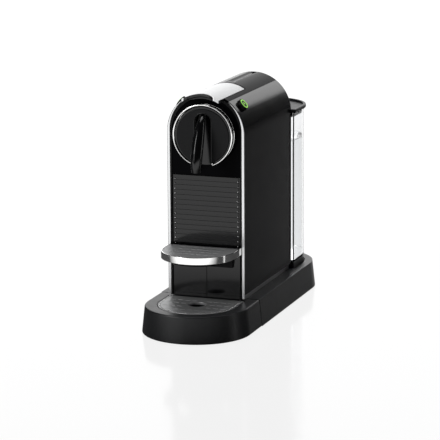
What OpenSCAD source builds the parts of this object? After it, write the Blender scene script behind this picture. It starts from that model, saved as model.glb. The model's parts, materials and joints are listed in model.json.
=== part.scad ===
// Single-serve pod coffee machine with a rear water tank, a lift lever and a folding cup support.
// Origin: centre of the base footprint on the table. Front faces -Y, +X is the right side, +Z up.

/* [Base] */
// Width of the base at the table
base_w = 130; // [110:1:160]
// Depth of the base at the table
base_d = 372; // [340:1:450]
// Height of the base
base_h = 33; // [30:1:42]
// How far each side leans in over the base's height
base_draft = 3.6; // [0:0.2:6]
// Wall of the base shells
base_wall = 3; // [2:0.5:4]
// Where the removable front part meets the plinth
seam_y = -77.5; // [-84:0.5:-72]

/* [Body] */
// Width of the upright body
body_w = 95.6; // [88:0.2:104]
// Height of the whole machine
body_top = 277; // [262:1:330]
// Front plane of the body
front_y = -89; // [-95:0.5:-86]
// Rear plane of the body
rear_y = 86; // [80:0.5:87]
// Wall of the side panels and covers
panel_wall = 2.2; // [1.6:0.1:3]
// Lower edge of the side panels
panel_z0 = 40; // [37:0.5:46]

/* [Head] */
// Radius of the round brewing head
head_r = 36.8; // [32:0.2:38]
// Height of the head's centre
head_z = 227; // [224:0.5:232]
// How far the head stands out of the front
head_out = 12; // [9:0.5:15]
// Half width of the arch recess behind the spout
recess_r = 10.5; // [9.5:0.5:13]
// Height of the spout's mouth
spout_z = 189; // [186:0.5:193]
// Distance of the spout's mouth in front of the body
spout_out = 33; // [31:0.5:36]

/* [Lever] */
// Half angle of the lever plate on the arch
lever_angle = 28.2; // [24:0.2:31]
// Thickness of the lever plate
lever_t = 3; // [2.4:0.1:3.4]
// How far the lever's nose overhangs the front
lever_nose = 19; // [12:1:24]
// Lever travel in degrees
lever_travel = 75; // [60:1:80]
// Travel of the brew carriage
carriage_travel = 14; // [11:0.5:15]
// Radius of the lever's axle
axle_r = 1.8; // [1.5:0.1:2]

/* [Cup support] */
// Half width of the cup support
support_r = 44; // [38:0.2:45]
// Distance of its round front's centre from the front plane
support_reach = 26; // [18:1:30]
// Top of its chrome rim
support_z = 96.8; // [92:0.2:100]
// Height of its chrome rim
rim_h = 8.4; // [7:0.2:9]

/* [Drip grid] */
// Half width of the drip grid
grid_r = 46.2; // [40:0.2:48]
// Radius of its finger hole
finger_r = 10.8; // [9:0.2:13]

/* [Water tank] */
// Radius of the tank's round back and half its width
tank_r = 50.5; // [44:0.5:50.5]
// Wall of the tank
tank_wall = 2.2; // [1.6:0.1:3]
// Top edge of the tank
tank_top = 227.5; // [200:0.5:232]
// Bottom of the clear wall
tank_z0 = 40; // [39:0.5:44]

/* [Fits] */
// Gap between curved faces on different bodies
gap = 0.4; // [0.3:0.05:0.6]
// Radial clearance of a shaft in its hole
run = 0.06; // [0.02:0.01:0.1]

/* [Hidden] */
$fn = 96;
end_r = base_w / 2;
end_y = base_d / 2 - end_r;
foot_h = 1.2;
body_r = body_w / 2;
arch_z = body_top - body_r;
inner_r = body_r - panel_wall;
cover_angle = 36.5;
frame_in = inner_r - 3.4;
frame_gap = 0.2;
frame_t = 2.8;
drawer_r = frame_in - 0.8;
fin_z0 = support_z + 1.2;
fin_z1 = 178.5;
fin_pitch = 5.9;
groove_r = 12.4;
groove_depth = 1.4;
trim_out = body_r - 0.6;
trim_w = 3;
trim_t = 1.1;
trim_end_angle = 40;
fin_count = floor((fin_z1 - fin_z0 - 2) / fin_pitch) + 1;
lower_z1 = 72;
head_y = front_y - head_out;
spout_y = front_y - spout_out;
spout_bore = 2;
plate_rear_y = -13;
plate_half = body_r * sin(lever_angle);
plate_sagitta = 3.6;
plate_arc_r = (plate_half * plate_half + plate_sagitta * plate_sagitta) / (2 * plate_sagitta);
well_half = plate_half + 0.5;
pivot_y = -44;
pivot_z = body_top - 14;
cover_y = pivot_y + norm([plate_rear_y - pivot_y, body_top - pivot_z]) + gap;
cam_x = 18.6;
cam_t = 2.8;
ear_in = cam_x + cam_t + 0.5;
axle_boss_r = 3.2;
cam_drop = 24;
cam_pin_r = 2.5;
cam_gap = gap + 0.15;
cam_r = 33.5;
brew_x = 28;
brew_t = 2.6;
chamber_y = -62;
chamber_r = 15.5;
carriage_y = -60;
cup_len = 11.4;
cup_r = 18;
wing_z = 214;
wing_h = 6;
pin_rest_y = pivot_y - carriage_travel;
pin_z = pivot_z - cam_drop;
button_angle = 50;
button_y = -66;
button_r = 7;
button_out = 3.8;
button_travel = 1.2;
button_len = 9.4;
grid_cy = -end_y;
grid_rear = front_y - trim_t - gap;
grid_t = 3.2;
tray_bottom = 7;
tray_wall = 1.8;
support_cy = front_y - support_reach;
support_hinge_y = front_y - 4.1;
support_rear = support_hinge_y + 1.9;
recess_up = head_r - 20.8;
spout_rise = head_z + recess_up + 6 - spout_z;
support_hinge_z = support_z - 3.4;
hinge_pin_r = 1.6;
ear_x = support_r - 14;
ear_t = 4;
tank_cy = end_y;
tank_front = rear_y + 2.2;
tank_seat_r = tank_r + 1.6;
seat_z = 27;
lid_z1 = tank_top + 4.5;
lid_over = 2.5;
valve_r = 8;
gland_z = 14;
gland_bore = 3.6;
drawer_z0 = base_h + 1;
drawer_y1 = -4;
drawer_wall = 1.8;
pump_r = 18;
pump_z = 66;
pump_y0 = 8;
pump_y1 = 70;
block_z0 = 150;
block_z1 = 200;
block_y0 = 4;
block_y1 = 66;
flow_y = 64;
flow_z = 122;
flow_r = 14;
union_x = 18;
hose_r = 2.5;
screw_x = frame_in + 1.6;

// ---- shared shapes ----

// An outline drawn as (x, z) and carried from y0 to y1.
module along_y(y0, y1) {
    translate([0, y1, 0]) rotate([90, 0, 0]) linear_extrude(y1 - y0) children();
}

// A round bar along X.
module bar_x(x0, x1, r) {
    translate([x0, 0, 0]) rotate([0, 90, 0]) cylinder(r = r, h = x1 - x0);
}

// A round bar along Y.
module bar_y(y0, y1, r) {
    translate([0, y1, 0]) rotate([90, 0, 0]) cylinder(r = r, h = y1 - y0);
}

// The body's outline seen from the front, with straight sides down to z0.
module arch(r, z0) {
    translate([0, arch_z]) circle(r = r);
    translate([-r, z0]) square([2 * r, arch_z - z0]);
}

// The arch's ring between two radii.
module arch_ring(r_out, r_in, z0) {
    difference() {
        arch(r_out, z0);
        translate([0, arch_z]) circle(r = r_in);
        translate([-r_in, z0 - 1]) square([2 * r_in, arch_z - z0 + 1]);
    }
}

// Everything within an angle of straight up, seen from the arch's centre.
module wedge(angle) {
    reach = 2 * body_r;
    translate([0, arch_z])
        polygon([[0, 0], [-reach * sin(angle), reach * cos(angle)], [0, 2 * reach],
            [reach * sin(angle), reach * cos(angle)]]);
}

// One side of the drawing, in (x, z).
module half(side) {
    translate([side > 0 ? 0.01 : -200, -10]) square([199.99, 400]);
}

// A solid with the base's plan and leaning sides, inset all round, between two heights.
module base_solid(inset, z0, z1) {
    r0 = end_r - inset - base_draft * z0 / base_h;
    r1 = end_r - inset - base_draft * z1 / base_h;
    for (side = [-1, 1]) translate([0, side * end_y, z0]) cylinder(r1 = r0, r2 = r1, h = z1 - z0);
    translate([0, end_y, 0]) rotate([90, 0, 0]) linear_extrude(2 * end_y)
        polygon([[-r0, z0], [r0, z0], [r1, z1], [-r1, z1]]);
}

// A slab from z0 to z1 with a round front: half width r, front centre at cy, flat rear at y1.
module tongue(r, cy, y1, z0, z1) {
    translate([0, 0, z0]) linear_extrude(z1 - z0) intersection() {
        union() {
            translate([0, cy]) circle(r = r);
            translate([-r, cy]) square([2 * r, 2 * r]);
        }
        translate([-2 * r, cy - 2 * r]) square([4 * r, y1 - cy + 2 * r]);
    }
}

// The water tank's plan: flat front, round rear.
module tank_slab(r, front, z0, z1) {
    translate([0, 0, z0]) linear_extrude(z1 - z0) difference() {
        union() {
            translate([0, tank_cy]) circle(r = r);
            translate([-r, front]) square([2 * r, tank_cy - front]);
        }
        translate([-2 * r, front - 2 * r]) square([4 * r, 2 * r]);
    }
}

// Two places mirrored across the machine.
module both_sides() {
    children();
    mirror([1, 0, 0]) children();
}

// ---- base ----

// Rear part of the base: a shell open below, with the round seat for the tank.
module base_plinth() {
    color("#1b1c1e") difference() {
        base_solid(0, foot_h, base_h);
        base_solid(base_wall, 0, base_h - base_wall);
        translate([-base_w, -base_d, -1]) cube([2 * base_w, base_d + seam_y + 0.3, base_h + 2]);
        translate([0, tank_cy, 0]) cylinder(r = tank_seat_r, h = base_h + 1);
        translate([-tank_seat_r, tank_front - 3, 0])
            cube([2 * tank_seat_r, tank_cy - tank_front + 3, base_h + 1]);
        translate([0, base_d / 2, gland_z]) rotate([90, 0, 0]) cylinder(r = 6, h = 12, center = true);
    }
    color("#1b1c1e") base_screw_places() difference() {
        cylinder(r = 4, h = base_h - base_wall - foot_h - 2);
        translate([0, 0, -1]) cylinder(r = 1.5, h = 8.01);
    }
}

// The four screw bosses' places, just above the bottom plate.
module base_screw_places() {
    both_sides() for (y = [-22, 60]) translate([40, y, foot_h + 2.2]) children();
}

// Closing plate under the plinth, inside its wall.
module base_bottom_plate() {
    color("#26272a") difference() {
        base_solid(base_wall + 0.2, foot_h, foot_h + 2);
        translate([-base_w, -base_d, -1]) cube([2 * base_w, base_d + seam_y + 4, base_h]);
        base_screw_places() translate([0, 0, -5]) cylinder(r = 1.7, h = 6);
    }
}

// Four rubber pads under the plinth.
module rubber_feet() {
    color("#101010") both_sides() {
        translate([46, seam_y + 30, 0]) cylinder(r = 8, h = foot_h);
        translate([34, tank_cy + 18, 0]) cylinder(r = 8, h = foot_h);
    }
}

// Screws that hold the bottom plate, from below.
module base_screws() {
    color("#8a8d90") base_screw_places() {
        translate([0, 0, -2.2]) cylinder(r = 1.5, h = 8.2);
        translate([0, 0, -3.3]) cylinder(r = 3, h = 1.1);
    }
}

// Bushing in the rear wall where a mains cord would enter.
module cable_gland() {
    color("#151515") translate([0, 0, gland_z]) difference() {
        union() {
            bar_y(base_d / 2 - 11, base_d / 2 - 1.6, 6);
            bar_y(base_d / 2 - 11, base_d / 2 - 8, 8);
        }
        bar_y(base_d / 2 - 20, base_d / 2 + 1, gland_bore);
    }
}

// ---- body casing ----

// One curved side panel, from the shadow gap up onto the shoulder, with its button hole.
module side_panel(side) {
    color("#0d0e10") difference() {
        along_y(front_y + 0.05, rear_y - 1) intersection() {
            difference() {
                arch_ring(body_r, inner_r, panel_z0);
                wedge(cover_angle);
            }
            half(side);
        }
        on_shoulder(side) cylinder(r = button_r + gap, h = body_r);
    }
}

module side_panel_left() { side_panel(-1); }

module side_panel_right() { side_panel(1); }

// The top: a cover behind the lever, and a black band along each side of the lever.
module top_cover() {
    color("#0d0e10") {
        difference() {
            along_y(front_y + 0.05, rear_y - 1) intersection() {
                arch_ring(body_r, inner_r, panel_z0);
                wedge(cover_angle - 0.3);
            }
            lever_well();
            translate([0, 0, body_top + groove_r - groove_depth]) bar_y(plate_rear_y + 16, rear_y, groove_r);
        }
    }
}

// The opening that the lever plate lies in, ending in a gentle arc at the rear.
module lever_well() {
    intersection() {
        translate([-well_half, front_y - 40, arch_z]) cube([2 * well_half, 200, body_top]);
        translate([0, cover_y - plate_arc_r, 0]) cylinder(r = plate_arc_r, h = body_top + 30);
    }
}

// Rear wall of the body, with a vent slot row.
module rear_panel() {
    color("#141517") difference() {
        along_y(rear_y - 1, rear_y) difference() {
            arch(body_r - 0.3, base_h);
            for (k = [0:5]) translate([-18, 196 + k * 6]) square([36, 2.4]);
        }
        for (x = [-screw_x, screw_x], z = [60, 215]) translate([x, 0, z])
            bar_y(rear_y - 3, rear_y + 3, 1.1);
    }
}

// Screws through the rear panel into the frame.
module body_screws() {
    color("#8a8d90") for (x = [-screw_x, screw_x], z = [60, 215]) translate([x, 0, z]) {
        bar_y(rear_y - 2, rear_y, 1);
        bar_y(rear_y, rear_y + 1, 1.8);
    }
}

// Matte frame just inside the side panels' front edge, lowered where the lever passes over it.
module front_frame() {
    color("#08080a") along_y(front_y, front_y + 3) difference() {
        arch_ring(inner_r - frame_gap, frame_in, base_h + 1);
        intersection() {
            difference() {
                arch(body_r, arch_z);
                translate([0, arch_z]) circle(r = body_r - lever_t - 0.6);
            }
            translate([-well_half, arch_z]) square([2 * well_half, body_r]);
        }
    }
}

// Glossy front plate around the head, open where the head stands.
module front_fascia() {
    color("#0b0b0d") difference() {
        along_y(front_y + 0.6, front_y + 3) arch(frame_in - 0.3, fin_z1 + 0.6);
        translate([0, 0, head_z]) bar_y(front_y - 5, front_y + 5, 20);
    }
}

// One bright strip: straight beside the front, then tapering out over the shoulder.
module trim_strip(side) {
    color("#c9c9c6") along_y(front_y - trim_t, front_y) intersection() {
        difference() {
            arch(trim_out, base_h + 2);
            translate([0, arch_z + trim_w]) circle(r = trim_out - trim_w);
            translate([-trim_out + trim_w, 0]) square([2 * (trim_out - trim_w), arch_z + trim_w]);
            wedge(trim_end_angle);
        }
        half(side);
    }
}

module trim_strip_left() { trim_strip(-1); }

module trim_strip_right() { trim_strip(1); }

// ---- head ----

// Drum that carries the rings and the disc.
module head_housing() {
    color("#0c0c0e") difference() {
        translate([0, 0, head_z]) bar_y(head_y + 2.4, front_y + 0.6, head_r - 2.3);
        translate([0, 0, head_z]) bar_y(head_y - 1, head_y + 6, head_r - 4.6);
        recess_cut(recess_r + 1.2, head_y - 5, head_y + 10);
    }
}

// Rear bright ring, where the head meets the front.
module head_ring_rear() {
    color("#b9b9b6") translate([0, 0, head_z]) difference() {
        bar_y(front_y - 2.6, front_y, head_r - 0.6);
        bar_y(front_y - 3, front_y + 1, head_r - 1.9);
        translate([-9, front_y - 4, -head_r - 1]) cube([18, 8, 12]);
    }
}

// Front bright ring, open behind the spout.
module head_ring_front() {
    color("#cfcfcc") translate([0, 0, head_z]) difference() {
        bar_y(head_y, head_y + 4.4, head_r);
        bar_y(head_y - 1, head_y + 6, head_r - 2.2);
        bar_y(head_y - 1, head_y + 0.8, head_r - 1.4);
        translate([-recess_r - 1.2, head_y - 1, -head_r - 1])
            cube([2 * recess_r + 2.4, 8, 14]);
    }
}

// The matte disc, with the arch recess that the spout comes out of.
module head_disc() {
    color("#3a3b3e") difference() {
        translate([0, 0, head_z]) bar_y(head_y + 1.6, head_y + 6, head_r - 4.8);
        recess_cut(recess_r, head_y - 5, head_y + 20);
    }
}

// The recess: a half circle on straight walls, open at the bottom.
module recess_cut(r, y0, y1) {
    along_y(y0, y1) {
        translate([0, head_z + recess_up]) circle(r = r);
        translate([-r, head_z - head_r - 2]) square([2 * r, head_r + 2 + recess_up]);
    }
}

// The curved spout with its outlet bore.
module spout() {
    // y in front of the head, share of the rise above the mouth and radius, down the tusk
    joints = [[-3, spout_rise, 4.5], [-9, 0.8 * spout_rise, 6], [-14, 0.58333 * spout_rise, 7],
        [-18, 0.375 * spout_rise, 7.2], [-20.6, 0.15833 * spout_rise, 6.9], [-21, 0.06667 * spout_rise, 6.4]];
    color("#0b0b0d") difference() {
        union() {
            for (k = [0:len(joints) - 2]) hull() {
                spout_ball(joints[k]);
                spout_ball(joints[k + 1]);
            }
            translate([0, spout_y, spout_z]) cylinder(r = 6.2, h = 6);
            translate([0, 0, spout_z + spout_rise - 1]) bar_y(head_y - 4, head_y + 10, 5);
        }
        translate([0, spout_y, spout_z - 1]) cylinder(r = spout_bore, h = 42);
        translate([-20, head_y - 60, spout_z - 30]) cube([40, 60, 30]);
    }
}

module spout_ball(place) {
    translate([0, head_y + place[0], spout_z + place[1]]) sphere(r = place[2], $fn = 32);
}

// ---- frame and workings ----

// Two upright frame plates joined by cross rails above the container's path.
module internal_frame() {
    color("#5a5c60") {
        both_sides() difference() {
            translate([frame_in + 0.2, front_y + 7, base_h])
                cube([frame_t, rear_y - front_y - 9, arch_z - base_h - 4]);
            translate([frame_in - 5, 14, 120]) cube([20, 46, 70]);
        }
        for (y = [front_y + 12, rear_y - 8]) translate([-frame_in - 0.4, y, fin_z1 + 1])
            cube([2 * frame_in + 0.8, 4, 8]);
        translate([-frame_in - 0.4, 2, 120]) cube([2 * frame_in + 0.8, 3, 10]);
    }
}

// Two cheeks that guide the brew carriage and carry the lever's axle in their ears.
module brew_housing() {
    color("#2e3033") both_sides() difference() {
        union() {
            translate([brew_x, front_y + 4, 190]) cube([brew_t, 86, 56]);
            translate([brew_x, pivot_y - 8, 240]) cube([brew_t, 16, 14]);
            translate([ear_in, pivot_y - 3.2, 247]) cube([brew_x - ear_in + 0.5, 6.4, 6]);
            translate([ear_in, pivot_y - 3.2, 247]) cube([3, 6.4, pivot_z - 247]);
            translate([0, pivot_y, pivot_z]) bar_x(ear_in, ear_in + 3, axle_boss_r);
            translate([brew_x - 1, button_y - 3, 238]) cube([2, 6, 10]);
        }
        lever_hole();
        translate([0, carriage_y - gap, wing_z - gap])
            cube([60, cup_len + 20 + carriage_travel + 2 * gap, wing_h + 2 * gap]);
    }
    color("#2e3033") translate([-brew_x - 0.2, front_y + 6, 190]) cube([2 * brew_x + 0.4, 80, 3]);
}

module lever_hole() {
    translate([0, pivot_y, pivot_z]) bar_x(-60, 60, axle_r + run);
}

// Fixed front half of the brewing chamber, with the way out to the spout.
module brew_front_plate() {
    color("#3c3e42") difference() {
        union() {
            translate([0, 0, head_z]) bar_y(front_y + 4, chamber_y, chamber_r + 3.2);
            translate([-brew_x, front_y + 4, head_z - 12]) cube([2 * brew_x, 5, 24]);
        }
        translate([0, 0, head_z]) bar_y(chamber_y - 8, chamber_y + 1, chamber_r);
        translate([0, 0, head_z]) bar_y(front_y, chamber_y, 2);
    }
}

// Heating block with its two water unions.
module thermoblock() {
    color("#a9abad") {
        translate([-24, block_y0, block_z0]) cube([48, block_y1 - block_y0, block_z1 - block_z0 - 12]);
        for (x = [-union_x, union_x]) translate([x, 0, block_z0 + 12]) bar_y(block_y1 - 1, block_y1 + 4, 4);
    }
}

// U-shaped heating rod on the block's top.
module heater_element() {
    color("#7a7d80") translate([0, 0, block_z1 - 9]) {
        for (x = [-12, 12]) translate([x, 0, 0]) bar_y(block_y0 + 14, block_y1 - 6, 3);
        translate([0, block_y0 + 14, 0])
            rotate([0, 0, 180]) rotate_extrude(angle = 180) translate([12, 0]) circle(r = 3);
    }
}

// Two thermostats on the block's side.
module thermostats() {
    color("#c9b27a") for (y = [block_y0 + 14, block_y1 - 14])
        translate([24, y, (block_z0 + block_z1) / 2 - 6]) rotate([0, 90, 0]) {
            cylinder(r = 7, h = 2);
            cylinder(r = 5, h = 6);
        }
}

// Vibration pump: a coil between two end fittings.
module pump() {
    color("#b9a67c") translate([0, 0, pump_z]) {
        bar_y(pump_y0 + 12, pump_y1 - 14, pump_r);
        bar_y(pump_y0 + 4, pump_y1 - 4, 8);
        bar_y(pump_y0, pump_y1, 4);
    }
}

// Rubber cradles under the pump.
module pump_mounts() {
    color("#1a1a1a") for (y = [pump_y0 + 16, pump_y1 - 24]) difference() {
        translate([-22, y, base_h]) cube([44, 7, pump_z - base_h]);
        translate([0, 0, pump_z]) bar_y(y - 1, y + 8, pump_r);
        translate([-10, y - 1, base_h - 1]) cube([20, 9, 8]);
    }
}

// Flow meter body: a hollow cup and lid with pivots for the rotor, on its own foot.
module flow_meter_housing() {
    color("#d8d8d2") translate([0, flow_y, flow_z]) {
        difference() {
            cylinder(r = flow_r, h = 14);
            translate([0, 0, 2.5]) cylinder(r = flow_r - 2, h = 9);
            translate([0, 0, 1]) cylinder(r = 1.5 + run, h = 12);
        }
        translate([-4, -6, pump_z + 8 - flow_z]) cube([8, 6, flow_z - pump_z - 8 + 0.2]);
    }
}

// Paddle wheel that turns as water passes.
module flow_meter_rotor() {
    color("#e9e9e4") translate([0, flow_y, flow_z]) {
        translate([0, 0, 1.3]) cylinder(r = 1.5, h = 11.4);
        translate([0, 0, 4]) cylinder(r = 3.5, h = 6);
        for (k = [0:5]) rotate([0, 0, 60 * k]) translate([2.5, -0.5, 4.6]) cube([flow_r - 2 - 3.4, 1, 4.8]);
    }
}

// Hoses: up from the pump's side to the block, and from the block forward to the brew unit.
module water_hoses() {
    color("#d7d2c6") {
        for (end = [[-union_x, 92, block_z0 + 12], [union_x, block_z0 + 12, block_z1 + 8]])
            translate([end[0], block_y1 + 7, end[1]]) cylinder(r = hose_r, h = end[2] - end[1]);
        for (end = [[-union_x, 92], [-union_x, block_z0 + 12], [union_x, block_z0 + 12],
            [union_x, block_z1 + 8]])
            translate([end[0], block_y1 + 7, end[1]]) sphere(r = hose_r);
        translate([union_x, 0, block_z1 + 8]) bar_y(8, block_y1 + 7, hose_r);
        for (x = [-union_x, union_x])
            translate([x, 0, block_z0 + 12]) bar_y(block_y1 + 4, block_y1 + 7, hose_r);
    }
}

// Control board on the left frame plate, with its larger components.
module control_board() {
    color("#2e6b43") {
        translate([-frame_in + 0.6, 4, 60]) cube([1.6, 70, 52]);
        for (k = [0:2]) translate([-frame_in + 2.1, 8 + 22 * k, 68]) cube([8, 14, 12 + 5 * k]);
    }
}

// A place whose +Z runs out through the shoulder at the button.
module on_shoulder(side) {
    translate([0, button_y, arch_z]) rotate([0, side * button_angle, 0]) children();
}

// Switches behind the two buttons, each on its own small board.
module button_switches() {
    color("#c8c8c8") for (side = [-1, 1]) on_shoulder(side)
        translate([0, 0, body_r + button_out - button_len - button_travel - 0.6]) {
            translate([-3, -3, -3.4]) cube([6, 6, 3]);
            translate([-4, -7, -4.4]) cube([8, 14, 1.2]);
        }
}

// Seat in the plinth that the tank drops into, with the hole for its valve.
module tank_seat() {
    color("#141516") difference() {
        tank_slab(tank_seat_r - 0.2, tank_front - 2.8, seat_z - 3, base_h - 1);
        tank_slab(tank_r + 0.5, tank_front - 0.9, seat_z, base_h + 1);
        translate([0, tank_cy, 0]) cylinder(r = valve_r + 3, h = base_h);
    }
}

// Soft ring round the valve socket.
module tank_seal() {
    color("#3a3a3a") translate([0, tank_cy, seat_z - 5]) difference() {
        cylinder(r = valve_r + 3, h = 5);
        translate([0, 0, -1]) cylinder(r = valve_r - 3, h = 8);
    }
}

// ---- lever, buttons and brew carriage ----

// Bright lever plate, flush in the top, round at the rear and scooped at the nose.
module lever_plate() {
    nose_y = front_y - lever_nose;
    color("#c8c9cb") difference() {
        intersection() {
            along_y(nose_y, cover_y) intersection() {
                difference() {
                    arch(body_r, arch_z);
                    translate([0, arch_z]) circle(r = body_r - lever_t);
                }
                translate([-plate_half, arch_z]) square([2 * plate_half, 2 * body_r]);
            }
            translate([0, plate_rear_y - plate_arc_r, 0]) cylinder(r = plate_arc_r, h = body_top + 30);
        }
        translate([0, nose_y - 11, body_top - 20]) cylinder(r = 19, h = 30);
    }
}

// Dark finger lip under the plate's nose.
module lever_grip() {
    grip_y = front_y - lever_nose + 9.5;
    color("#3c3d40") intersection() {
        union() {
            translate([0, grip_y, body_top - lever_t - 2]) bar_x(-15, 15, 2);
            translate([-15, grip_y, body_top - lever_t - 4]) cube([30, front_y - 0.8 - grip_y, 4]);
        }
        along_y(front_y - 40, front_y) translate([0, arch_z]) circle(r = body_r - lever_t - 0.05);
    }
}

// The plate's two cheeks, each with the curved slot that moves the carriage pin.
module lever_cams() {
    color("#4a4c50") both_sides() difference() {
        intersection() {
            translate([0, pivot_y, pivot_z]) bar_x(cam_x, cam_x + cam_t, cam_r);
            along_y(pivot_y - 60, pivot_y + 60) translate([0, arch_z]) circle(r = body_r - lever_t);
            union() {
                translate([0, pivot_y - 60, 0]) cube([60, 66, body_top]);
                translate([0, pivot_y, 0]) cube([60, 60, pivot_z]);
            }
        }
        lever_hole();
        for (k = [0:1 / 16:1]) cam_slot(k);
    }
}

// The carriage pin's place in the lever's own frame, at a share of the lever's travel.
module cam_slot(k) {
    translate([0, pivot_y, pivot_z]) rotate([lever_travel * k, 0, 0])
        translate([0, carriage_travel * (k - 1), -cam_drop])
            bar_x(cam_x - 1, cam_x + cam_t + 1, cam_pin_r + cam_gap);
}

// The lever's axle.
module lever_axle() {
    color("#9a9da0") translate([0, pivot_y, pivot_z]) bar_x(-ear_in - 3, ear_in + 3, axle_r);
}

// Sliding rear half of the brewing chamber: a cup, a body with wings, and a block for the pin.
module brew_carriage() {
    rear = carriage_y + cup_len;
    color("#303236") difference() {
        union() {
            translate([0, 0, head_z]) bar_y(carriage_y, rear, cup_r);
            translate([-cup_r / 2, carriage_y + 0.5, head_z + cup_r / 2])
                cube([cup_r, pin_rest_y + cam_pin_r + 1.2 - carriage_y - 0.5, pin_z + 3 - head_z - cup_r / 2]);
            translate([-cup_r, rear - 1, wing_z - 2]) cube([2 * cup_r, 20.4, 16]);
            translate([-brew_x - brew_t, carriage_y, wing_z])
                cube([2 * (brew_x + brew_t), cup_len + 19, wing_h]);
        }
        translate([0, 0, head_z]) bar_y(carriage_y - 1, rear - 3.4, chamber_r);
        translate([0, pin_rest_y, pin_z]) bar_x(-60, 60, cam_pin_r);
    }
}

// Plate with the three needles that open a capsule.
module injection_needles() {
    color("#b8babd") translate([0, carriage_y + cup_len - 3.4, head_z]) {
        bar_y(-1.2, 0, chamber_r - 0.5);
        for (k = [0:2]) rotate([0, 120 * k, 0]) translate([0, -1, 8]) rotate([90, 0, 0])
            cylinder(r1 = 1.2, r2 = 0.3, h = 5);
    }
}

// The pin through the carriage that rides in the lever's two slots.
module carriage_pin() {
    color("#b8babd") translate([0, pin_rest_y, pin_z]) bar_x(-cam_x - cam_t, cam_x + cam_t, cam_pin_r);
}

// A push button that stands out of the shoulder, with a groove for its light ring.
module push_button(side) {
    color("#101112") on_shoulder(side) difference() {
        translate([0, 0, body_r + button_out - button_len]) cylinder(r = button_r, h = button_len);
        light_ring_shape(0);
    }
}

// The ring of light let into the button's face.
module light_ring_shape(clear) {
    translate([0, 0, body_r + button_out - 1]) difference() {
        cylinder(r = button_r - 1.1 - clear, h = 1.3);
        translate([0, 0, -1]) cylinder(r = button_r - 2.3 + clear, h = 4);
    }
}

module espresso_button() { push_button(1); }

module lungo_button() { push_button(-1); }

module espresso_light_ring() { color("#5fc24a") on_shoulder(1) light_ring_shape(0.02); }

module lungo_light_ring() { color("#5fc24a") on_shoulder(-1) light_ring_shape(0.02); }

// ---- front unit that pulls out ----

// Front part of the base, with the opening that the tray and grid lie in.
module drip_base() {
    color("#1b1c1e") difference() {
        base_solid(0, foot_h, base_h);
        base_solid(base_wall, foot_h + 2.4, base_h - base_wall);
        translate([-base_w, seam_y, -1]) cube([2 * base_w, base_d, base_h + 2]);
        tongue(grid_r + gap, grid_cy, grid_rear + gap, base_h - base_wall - 1, base_h + 1);
    }
    color("#1b1c1e") difference() {
        base_solid(base_wall - 0.2, foot_h, base_h - base_wall + 0.2);
        translate([-base_w, seam_y, -1]) cube([2 * base_w, base_d, base_h + 2]);
        translate([-base_w, -base_d, -1]) cube([2 * base_w, base_d + seam_y - 2.4, base_h + 2]);
    }
}

// Two rubber pads under the front unit.
module drip_feet() {
    color("#101010") both_sides() translate([36, grid_cy - 8, 0]) cylinder(r = 8, h = foot_h);
}

// The tray that catches drips, hanging below the grid.
module drip_tray() {
    z1 = base_h - grid_t;
    color("#202124") difference() {
        tongue(grid_r, grid_cy, grid_rear, tray_bottom, z1);
        tongue(grid_r - tray_wall, grid_cy, grid_rear - tray_wall, tray_bottom + tray_wall, z1 + 1);
    }
}

// Brushed grid with rows of slots and a round finger hole.
module drip_grid() {
    slot_w = 1.6;
    slot_gap = 5.2;
    z0 = base_h - grid_t;
    color("#b4b5b7") difference() {
        tongue(grid_r - 0.05, grid_cy, grid_rear, z0, base_h);
        translate([0, grid_cy - 1, z0 - 1]) cylinder(r = finger_r, h = grid_t + 2);
        for (row = [-2:2], col = [-4:4]) if (slot_fits(col * slot_gap * 1.7, grid_cy + row * 14))
            translate([col * slot_gap * 1.7 - 3, grid_cy + row * 14 - slot_w / 2, z0 - 1])
                cube([6, slot_w, grid_t + 2]);
    }
}

// Whether a slot centred here lies on the grid and clear of the finger hole.
function slot_fits(x, y) =
    (norm([x, min(y - grid_cy, 0)]) < grid_r - 7) && (norm([x, y - grid_cy + 1]) > finger_r + 5)
    && (y < grid_rear - 3);

// Open box that catches used capsules.
module capsule_container() {
    color("#232427") difference() {
        translate([-drawer_r, front_y + 5, drawer_z0]) cube([2 * drawer_r, drawer_y1 - front_y - 5, 62]);
        translate([-drawer_r + drawer_wall, front_y + 5 + drawer_wall, drawer_z0 + drawer_wall])
            cube([2 * (drawer_r - drawer_wall), drawer_y1 - front_y - 5 - 2 * drawer_wall, 70]);
    }
}

// Ribbed panel above the cup support.
module fin_panel() {
    color("#0a0a0c") {
        translate([-drawer_r, front_y + 1.4, drawer_z0 + 61])
            cube([2 * drawer_r, 3.6, fin_z1 - drawer_z0 - 61]);
        for (k = [0:fin_count - 1]) translate([-drawer_r + 1.4, front_y + 0.2, fin_z1 - 3.6 - k * fin_pitch])
            cube([2 * drawer_r - 2.8, 1.4, fin_pitch - 2.3]);
    }
}

// Smooth panel below the cup support, in two halves with a fine joint.
module lower_panel() {
    color("#0a0a0c") both_sides() translate([0.15, front_y + 0.2, drawer_z0])
        cube([drawer_r - 0.15, 4.8, support_z - rim_h - 2 - drawer_z0]);
}

// The cup support's body, notched for the hinge ears.
module cup_support_tray() {
    z0 = support_z - rim_h;
    color("#101113") difference() {
        union() {
            tongue(support_r - 1.6, support_cy, support_rear, z0, support_z - 1.2);
            tongue(support_r - 9, support_cy, front_y - 8, z0 - 4, z0 + 1);
        }
        tongue(support_r - 6, support_cy, front_y - 10, z0 + 4, support_z);
        support_notches();
        translate([0, support_hinge_y, support_hinge_z]) bar_x(-60, 60, hinge_pin_r);
    }
}

// Room for the two hinge ears as the support folds up.
module support_notches() {
    both_sides() {
        translate([ear_x - gap, support_hinge_y - 4.2, 0]) cube([ear_t + 2 * gap, 20, 200]);
    }
}

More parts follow.
